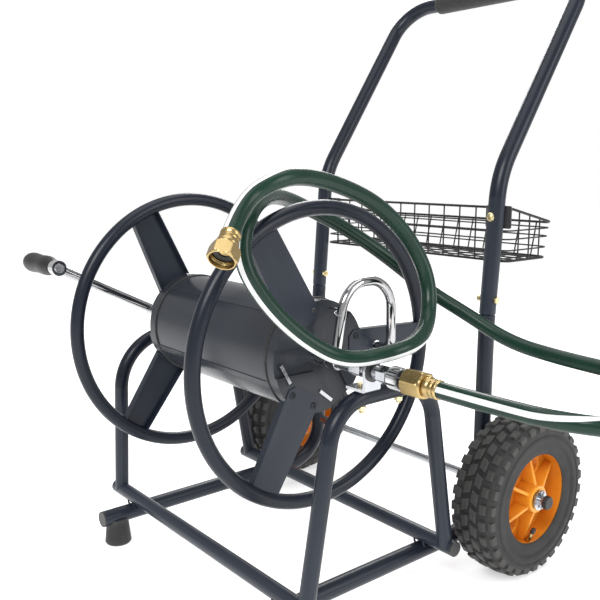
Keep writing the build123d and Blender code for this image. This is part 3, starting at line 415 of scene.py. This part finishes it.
def make_hose():
    """The leader hose as a smooth curve through its loops, between its two couplings."""
    curve = bpy.data.curves.new("leader_hose_line", "CURVE")
    curve.dimensions = "3D"
    curve.resolution_u = 12
    curve.bevel_depth = HOSE_DIAMETER / 2
    curve.bevel_resolution = 10
    curve.twist_mode = "MINIMUM"
    spline = curve.splines.new("NURBS")
    spline.points.add(len(HOSE_ROUTE) - 1)
    for point, place in zip(spline.points, HOSE_ROUTE):
        point.co = (*at(*place), 1)
    spline.order_u = 3
    spline.use_endpoint_u = True
    curve.materials.append(MATERIALS["hose_green"])
    hose = bpy.data.objects.new("leader_hose_pvc", curve)
    bpy.context.collection.objects.link(hose)
    turn_stripe(hose)
    curve.use_fill_caps = True
    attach(hose, "root")
    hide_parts("leader_hose")


# ---- Wheels -----------------------------------------------------------------------------------

TREAD_COUNT = 30
TREAD_STEP = 2 * math.pi / TREAD_COUNT
# One half of the tyre's outline as (along the axle, radius), from the crown round to the inside.
TYRE_HALF = [
    (0, 0.1155), (0.013, 0.1153), (0.025, 0.1138), (0.0325, 0.1105), (0.0355, 0.105), (0.0372, 0.099),
    (0.0362, 0.0985), (0.0364, 0.096), (0.0372, 0.0955), (0.0368, 0.091), (0.0362, 0.086), (0.0352, 0.0855),
    (0.0350, 0.081), (0.0345, 0.076), (0.0334, 0.0705), (0.0318, 0.0672), (0.0305, 0.0674), (0.0303, 0.0690),
    (0.0303, 0.0782), (0.0262, 0.0785),
]
# Rows of tread blocks: low and high radius, half length, half angle, place along, skew, and whether
# the row stands half a step round.
TREAD_ROWS = [
    (0.1145, 0.12, 0.0058, TREAD_STEP * 0.36, 0.0072, 0.02, 0),
    (0.112, 0.1185, 0.0052, TREAD_STEP * 0.3, 0.0215, 0.0, 0.5),
    (0.104, 0.1128, 0.0034, TREAD_STEP * 0.3, 0.0325, 0.0, 0.5),
]
BLOCK_CORNERS = ((-1, -1), (1, -1), (1, 1), (-1, 1))


def add_block(mesh, centre, low, high, half_along, half_angle, along, angle, skew):
    """Add one tapered tread block between two radii at a place around the tyre."""
    axis, across, other = square_to((1, 0, 0))
    loops = []
    for radius, shrink in ((low, 1.0), (high - 0.0007, 0.9), (high, 0.74)):
        loop = []
        for side_along, side_angle in BLOCK_CORNERS:
            turn = angle + (side_angle * half_angle * shrink) + skew * side_along
            spot = centre + axis * (along + side_along * half_along * shrink)
            spot += (across * math.cos(turn) + other * math.sin(turn)) * radius
            loop.append(mesh.verts.new(spot))
        loops.append(loop)
    for first, second in zip(loops, loops[1:]):
        join_loops(mesh, first, second)
    mesh.faces.new(loops[-1])
    mesh.faces.new(loops[0][::-1])


def make_tyre(side):
    """A pneumatic tyre: a moulded carcass with side ribs and staggered tread blocks."""
    centre = WHEELS[side]
    rings = [(-along, radius) for along, radius in TYRE_HALF[:0:-1]] + TYRE_HALF
    rings.append(rings[0])
    carcass = lathe(rings, 96, centre, (1, 0, 0))
    piece(f"{side}_tyre_carcass", carcass, f"{side}_wheel", "tyre_rubber")
    mesh = bmesh.new()
    for angle in around(TREAD_COUNT):
        for sign in (-1, 1):
            stagger = angle + sign * TREAD_STEP / 4
            for low, high, half_along, half_angle, along, skew, shift in TREAD_ROWS:
                turn = stagger + shift * TREAD_STEP
                add_block(mesh, centre, low, high, half_along, half_angle, sign * along, turn, sign * skew)
    tread = piece(f"{side}_tyre_tread", as_mesh(mesh, "tread"), f"{side}_wheel", "tyre_rubber", smooth=False)
    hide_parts(f"{side}_tyre")


VALVE_STEM = [(0, 0.0042), (0.004, 0.0036), (0.012, 0.0032), (0.013, 0.0026), (0.02, 0.0026)]
VALVE_CAP = [(0, 0.0034), (0.001, 0.0038), (0.007, 0.0036), (0.0085, 0.0024)]
VALVE_CAP_START = 0.017


def make_valve(side):
    """A tyre valve: a brass stem with a black dust cap, inside the orange rim."""
    sign = SIGNS[side]
    base = WHEELS[side] + Vector((sign * 0.019, 0, -0.0705))
    axis = Vector((sign * 0.5, 0, 1))
    piece(f"{side}_valve_stem", lathe(VALVE_STEM, 20, base, axis), f"{side}_wheel", "brass")
    tip = base + axis.normalized() * VALVE_CAP_START
    piece(f"{side}_valve_cap", lathe(VALVE_CAP, 20, tip, axis), f"{side}_wheel", "black_plastic")


RIB_COUNT = 6
RIB_HALF_WIDTH = 0.0034
RIB_FOOT = 0.003
# Where each rib starts and ends: radius and height above the wheel's middle.
RIB_ENDS = ((0.0195, 0.03), (0.0705, 0.014))


def make_hub_ribs(side):
    """Radial ribs moulded on the orange rim's outer face."""
    axis = Vector((SIGNS[side], 0, 0))
    across = Vector((0, 1, 0))
    other = axis.cross(across)
    mesh = bmesh.new()
    for index in range(RIB_COUNT):
        angle = (index + 0.5) * 2 * math.pi / RIB_COUNT
        direction = across * math.cos(angle) + other * math.sin(angle)
        sideways = axis.cross(direction)
        loops = []
        for radius, height in RIB_ENDS:
            spot = WHEELS[side] + direction * radius
            loop = []
            for edge, lift in ((-1, RIB_FOOT), (-0.7, height), (0.7, height), (1, RIB_FOOT)):
                loop.append(mesh.verts.new(spot + sideways * edge * RIB_HALF_WIDTH + axis * lift))
            loops.append(loop)
        join_loops(mesh, *loops)
        mesh.faces.new(loops[0])
        mesh.faces.new(loops[1][::-1])
    bmesh.ops.recalc_face_normals(mesh, faces=mesh.faces)
    bmesh.ops.bevel(mesh, geom=mesh.edges[:], offset=0.0009, segments=2, affect="EDGES", profile=0.5)
    piece(f"{side}_hub_ribs", as_mesh(mesh, "ribs"), f"{side}_wheel", "orange_hub", smooth=False)


for side in SIGNS:
    make_tyre(side)
    make_valve(side)
    make_hub_ribs(side)

# ---- Reel details -----------------------------------------------------------------------------

SPOKE_TURN = {"inlet_side": 0.0, "crank_side": -5.0}
SPOKE_COUNT = 3
SCREW_PLACE = (62, 20)
SCREW_SEAT_X = 163
SCREW_HEAD = 0.0046
SCREW_HEIGHT = 0.0022
CROSS_DEPTH = 0.0012
CROSS_HALF_WIDTH = 0.0006
CROSS_REACH = 0.56


def spoke_angles(side):
    """The directions of one side's spokes, in radians."""
    return [math.radians(SPOKE_TURN[side] + index * 360 / SPOKE_COUNT) for index in range(SPOKE_COUNT)]


def dome_with_cross(mesh, centre, axis, turn):
    """Add a round screw head with a cross recess, standing on a surface."""
    axis, across, other = square_to(axis)
    rings = 12
    angles = around(48)
    base = []
    for angle in angles:
        outward = across * math.cos(angle) + other * math.sin(angle)
        base.append(mesh.verts.new(centre + outward * SCREW_HEAD))
    previous = base
    for ring in range(1, rings):
        share = 1 - ring / rings
        loop = []
        for angle in angles:
            east = math.cos(angle + turn) * SCREW_HEAD * share
            north = math.sin(angle + turn) * SCREW_HEAD * share
            near, far = sorted((abs(east), abs(north)))
            lift = SCREW_HEIGHT * math.sqrt(1 - share**3)
            if near < CROSS_HALF_WIDTH and far < CROSS_REACH * SCREW_HEAD:
                lift -= CROSS_DEPTH
            outward = across * math.cos(angle) + other * math.sin(angle)
            loop.append(mesh.verts.new(centre + outward * SCREW_HEAD * share + axis * lift))
        join_loops(mesh, previous, loop)
        previous = loop
    top = mesh.verts.new(centre + axis * (SCREW_HEIGHT - CROSS_DEPTH))
    for step, vertex in enumerate(previous):
        mesh.faces.new((vertex, previous[(step + 1) % len(previous)], top))
    mesh.faces.new(base[::-1])


def make_screws():
    """The twelve cross-head screws that hold the spokes to the end discs."""
    black_zinc = metal("black_zinc", (0.03, 0.032, 0.036), (0.07, 0.073, 0.08), (0.3, 0.5), metallic=0.8)
    reach, half_gap = SCREW_PLACE
    mesh = bmesh.new()
    for side, sign in SIGNS.items():
        for angle in spoke_angles(side):
            for offset in (-half_gap, half_gap):
                y = reach * math.cos(angle) - offset * math.sin(angle)
                z = reach * math.sin(angle) + offset * math.cos(angle)
                seat = at(sign * SCREW_SEAT_X, y, z)
                dome_with_cross(mesh, seat, (sign, 0, 0), random.uniform(0, 1.5))
    screws = piece("spoke_screw_heads", as_mesh(mesh, "screws"), "reel", "zinc", material=black_zinc)
    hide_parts("spoke_screws")


RIM_WELD_RADIUS = 186.5
RIM_WELD_X = 162.6
RIM_WELD_TURN = 0.085
RIM_WELD_HALF = 0.009
RIM_WELD_BEAD = 0.0017
RIM_WELD_STEPS = 16


def make_rim_weld(name, sign, turn):
    """One short weld bead beside a spoke's end, along the rim tube."""
    start = at(sign * RIM_WELD_X, RIM_WELD_RADIUS * math.cos(turn), RIM_WELD_RADIUS * math.sin(turn))
    along = Vector((0, -math.sin(turn), math.cos(turn)))
    outward = Vector((0, math.cos(turn), math.sin(turn)))
    mesh = bmesh.new()
    loops = []
    for step in range(RIM_WELD_STEPS + 1):
        share = step / RIM_WELD_STEPS * 2 - 1
        swell = RIM_WELD_BEAD * math.sqrt(max(0.02, 1 - share**4)) * (0.85 + 0.15 * math.sin(step * 2.4))
        spot = start + along * share * RIM_WELD_HALF
        loop = []
        for angle in around(8):
            offset = outward * math.cos(angle) + Vector((sign, 0, 0)) * math.sin(angle)
            loop.append(mesh.verts.new(spot + offset * swell))
        loops.append(loop)
    for first, second in zip(loops, loops[1:]):
        join_loops(mesh, first, second)
    mesh.faces.new(loops[0][::-1])
    mesh.faces.new(loops[-1])
    piece(name, as_mesh(mesh, "rim_weld"), "reel", "frame_paint")


make_screws()
for side, sign in SIGNS.items():
    for index, angle in enumerate(spoke_angles(side)):
        for end in (-1, 1):
            make_rim_weld(f"{side}_rim_weld_{index}_{end + 1}", sign, angle + end * RIM_WELD_TURN)

# ---- Frame welds ------------------------------------------------------------------------------

WELD_RIPPLES = 46
WELD_RADIUS = 0.0085
WELD_BEAD = 0.0016
WELD_OFFSET = 0.0085
WELD_DROP = 0.0075


def make_weld(name, centre):
    """A rippled ring of weld, square to X, where a cross tube meets a rail."""
    axis, across, other = square_to((1, 0, 0))
    mesh = bmesh.new()
    loops = []
    for angle in around(WELD_RIPPLES * 4):
        ripple = 0.82 + 0.18 * abs(math.sin(WELD_RIPPLES * angle / 2))
        swell = WELD_BEAD * (ripple + random.uniform(-0.05, 0.05))
        outward = across * math.cos(angle) + other * math.sin(angle)
        loop = []
        for round_angle in around(8):
            spot = centre + outward * (WELD_RADIUS + swell * math.cos(round_angle))
            loop.append(mesh.verts.new(spot + axis * swell * math.sin(round_angle)))
        loops.append(loop)
    for first, second in zip(loops, loops[1:] + loops[:1]):
        join_loops(mesh, first, second)
    piece(name, as_mesh(mesh, "weld"), "root", "frame_paint")


for name in ("front", "rear"):
    tube = middle(f"{name}_cross_tube")
    for side in SIGNS:
        rail_x = middle(f"{side}_rail").x
        for offset in (-1, 1):
            centre = Vector((rail_x + offset * WELD_OFFSET, tube.y, tube.z - WELD_DROP))
            make_weld(f"{side}_{name}_rail_weld_{offset + 1}", centre)

# ---- Handle grip ------------------------------------------------------------------------------

GRIP_RIBS = 44
GRIP_RADIUS = 0.0170
GRIP_GROOVE = 0.0166
GRIP_BORE = 0.0128
GRIP_END = 0.006
RIB_HALF = 0.0012


def make_grip():
    """A foam grip with closed ends and fine turned ribs."""
    low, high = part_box("handle_grip")
    centre = (low + high) / 2
    half = (high.x - low.x) / 2
    rings = [(-half, GRIP_BORE), (-half, 0.0155), (-half + 0.0015, 0.0167)]
    for index in range(GRIP_RIBS + 1):
        along = -half + GRIP_END + 2 * (half - GRIP_END) * index / GRIP_RIBS
        rings.append((along - RIB_HALF, GRIP_RADIUS))
        rings.append((along, GRIP_GROOVE))
        rings.append((along + RIB_HALF, GRIP_RADIUS))
    rings += [(half - 0.0015, 0.0167), (half, 0.0155), (half, GRIP_BORE)]
    rings.append(rings[0])
    grip = piece("handle_grip_foam", lathe(rings, 56, centre, (1, 0, 0)), "root", "black_rubber")
    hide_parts("handle_grip")


make_grip()

# ---- Couplings --------------------------------------------------------------------------------

COUPLING_FLATS = 0.030
COUPLING_CORNER = 0.0171
HOSE_BORE = 0.0066
NECK = 0.0099
THREAD_PITCH = 0.0022
INLET_MOUTH = at(316, 0, 0)
INLET_NUT = 0.030
INLET_TOTAL = 0.050
FREE_NUT = 0.018
FREE_TOTAL = 0.037
FREE_AXIS = (at(*HOSE_ROUTE[-2]) - at(*HOSE_ROUTE[-1])).normalized()
FREE_MOUTH = at(*HOSE_ROUTE[-1]) - FREE_AXIS * FREE_TOTAL


def hex_lathe(rings, centre, axis):
    """A turned mesh from (along, radius) rings, whose rings with a True are held inside a hexagon."""
    axis, across, other = square_to(axis)
    mesh = bmesh.new()
    loops = []
    for along, radius, *is_hex in rings:
        loop = []
        for angle in around(96):
            reach = radius
            if is_hex:
                bend = angle % (math.pi / 3) - math.pi / 6
                reach = min(radius, COUPLING_FLATS / 2 / math.cos(bend))
            outward = across * math.cos(angle) + other * math.sin(angle)
            loop.append(mesh.verts.new(centre + axis * along + outward * reach))
        loops.append(loop)
    for first, second in zip(loops, loops[1:] + loops[:1]):
        join_loops(mesh, first, second)
    return as_mesh(mesh, "hex_turned")


def nut_rings(length):
    """A chamfered hexagonal nut's outline, outside first, then the neck hole and the inner thread."""
    rings = [
        (0.0, 0.0138), (0.0, 0.0150), (0.0012, 0.0162, True), (0.0022, COUPLING_CORNER, True),
        (length - 0.0045, COUPLING_CORNER, True), (length - 0.0022, 0.0160, True), (length - 0.0008, 0.0146),
        (length, 0.0138), (length, 0.0102), (length - 0.003, 0.0102), (length - 0.0031, 0.0131),
    ]
    threads = int((length - 0.0095) / THREAD_PITCH)
    for index in range(threads):
        along = length - 0.0085 - index * THREAD_PITCH
        rings += [(along - 0.0004, 0.0137), (along - 0.0015, 0.0131)]
    return rings


def ferrule_rings(start, end):
    """A ferrule's outline: a flange and neck inside the nut, a collar, and a ribbed sleeve."""
    return [
        (start - 0.006, HOSE_BORE), (start - 0.006, 0.0122), (start - 0.0032, 0.0122),
        (start - 0.003, NECK), (start + 0.0004, NECK), (start + 0.0006, 0.0118),
        (start + 0.0016, 0.0122), (start + 0.0058, 0.0122), (start + 0.0068, 0.0116),
        (start + 0.0078, 0.0108), (start + 0.0088, 0.0108), (start + 0.0098, 0.0112),
        (end - 0.0072, 0.0112), (end - 0.0064, 0.0104), (end - 0.0052, 0.0104),
        (end - 0.0044, 0.0113), (end - 0.0012, 0.0113), (end - 0.0002, 0.0106),
        (end - 0.0002, HOSE_BORE),
    ]


def make_coupling(name, mouth, axis, nut_length, total):
    """A brass hose coupling: a threaded nut and a ribbed ferrule."""
    nut_mesh = hex_lathe(nut_rings(nut_length), mouth, axis)
    nut = piece(f"{name}_nut_brass", nut_mesh, "root", "brass", smooth=False)
    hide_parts(f"{name}_nut")
    ferrule_mesh = hex_lathe(ferrule_rings(nut_length, total), mouth, axis)
    ferrule = piece(f"{name}_ferrule_brass", ferrule_mesh, "root", "brass")
    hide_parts(f"{name}_ferrule")
    return nut, ferrule


inlet_fittings = make_coupling("inlet_coupling", INLET_MOUTH, (1, 0, 0), INLET_NUT, INLET_TOTAL)
free_fittings = make_coupling("free_coupling", FREE_MOUTH, FREE_AXIS, FREE_NUT, FREE_TOTAL)
make_hose()

# ---- Camera -----------------------------------------------------------------------------------

CAMERA_PLACE = (922.5, -659.7, 247.0)
CAMERA_AZIMUTH = math.radians(50.62)
CAMERA_HEIGHT = math.radians(9.664)
LENS = 47.25

camera_data = bpy.data.cameras.new("camera")
camera_data.lens = LENS
camera_data.sensor_width = 36
camera = bpy.data.objects.new("camera", camera_data)
bpy.context.collection.objects.link(camera)
back = Vector(
    (
        math.sin(CAMERA_AZIMUTH) * math.cos(CAMERA_HEIGHT),
        -math.cos(CAMERA_AZIMUTH) * math.cos(CAMERA_HEIGHT),
        math.sin(CAMERA_HEIGHT),
    )
)
camera.location = at(*CAMERA_PLACE)
camera.rotation_euler = back.to_track_quat("Z", "Y").to_euler()
bpy.context.scene.camera = camera
bpy.context.scene.view_settings.view_transform = "Standard"

# ---- Floor ------------------------------------------------------------------------------------

FLOOR = 30.0

floor_mesh = bpy.data.meshes.new("floor")
floor_mesh.from_pydata(
    [(-FLOOR, -FLOOR, 0), (FLOOR, -FLOOR, 0), (FLOOR, FLOOR, 0), (-FLOOR, FLOOR, 0)], [], [(0, 1, 2, 3)]
)
floor = bpy.data.objects.new("floor", floor_mesh)
bpy.context.collection.objects.link(floor)
floor_shader = Shader("pale_floor")
floor_shader.link(
    floor_shader.ramp(floor_shader.noise(2), [(0.3, (0.90, 0.90, 0.90)), (0.7, (0.92, 0.92, 0.92))]),
    floor_shader.bsdf.inputs["Base Color"],
)
floor_shader.set(
    Roughness=0.85, Specular_IOR_Level=0.2, Emission_Color=(1, 1, 1, 1), Emission_Strength=0.5
)
floor_mesh.materials.append(floor_shader.material)

# ---- Studio light -----------------------------------------------------------------------------

WORLD_LIGHT = 0.55
BACKDROP = 1.0


def make_world():
    """A white studio: a pure white backdrop where it is seen, and softer light where it isn't."""
    world = bpy.data.worlds.new("studio")
    bpy.context.scene.world = world
    world.use_nodes = True
    nodes = world.node_tree.nodes
    links = world.node_tree.links
    lit = nodes["Background"]
    seen = nodes.new("ShaderNodeBackground")
    for background, strength in ((lit, WORLD_LIGHT), (seen, BACKDROP)):
        background.inputs["Color"].default_value = (1, 1, 1, 1)
        background.inputs["Strength"].default_value = strength
    rays = nodes.new("ShaderNodeLightPath")
    choice = nodes.new("ShaderNodeMixShader")
    links.new(rays.outputs["Is Camera Ray"], choice.inputs["Fac"])
    links.new(lit.outputs["Background"], choice.inputs[1])
    links.new(seen.outputs["Background"], choice.inputs[2])
    links.new(choice.outputs["Shader"], nodes["World Output"].inputs["Surface"])


def add_light(name, place, aim, size, power):
    """A soft rectangular light that points at a place."""
    data = bpy.data.lights.new(name, "AREA")
    data.shape = "RECTANGLE"
    data.size, data.size_y = size
    data.energy = power
    light = bpy.data.objects.new(name, data)
    bpy.context.collection.objects.link(light)
    light.location = place
    light.rotation_euler = (Vector(place) - Vector(aim)).to_track_quat("Z", "Y").to_euler()


make_world()
add_light("key", (1.2, -1.9, 2.1), (0, 0, 0.4), (1.4, 1.0), 42)
add_light("fill", (2.4, 0.9, 1.3), (0, 0, 0.4), (1.2, 1.6), 20)
add_light("rim", (-1.6, 1.6, 2.0), (0, 0, 0.5), (1.2, 1.2), 30)
add_light("top", (0.0, 0.0, 2.9), (0, 0, 0.3), (2.2, 2.2), 24)
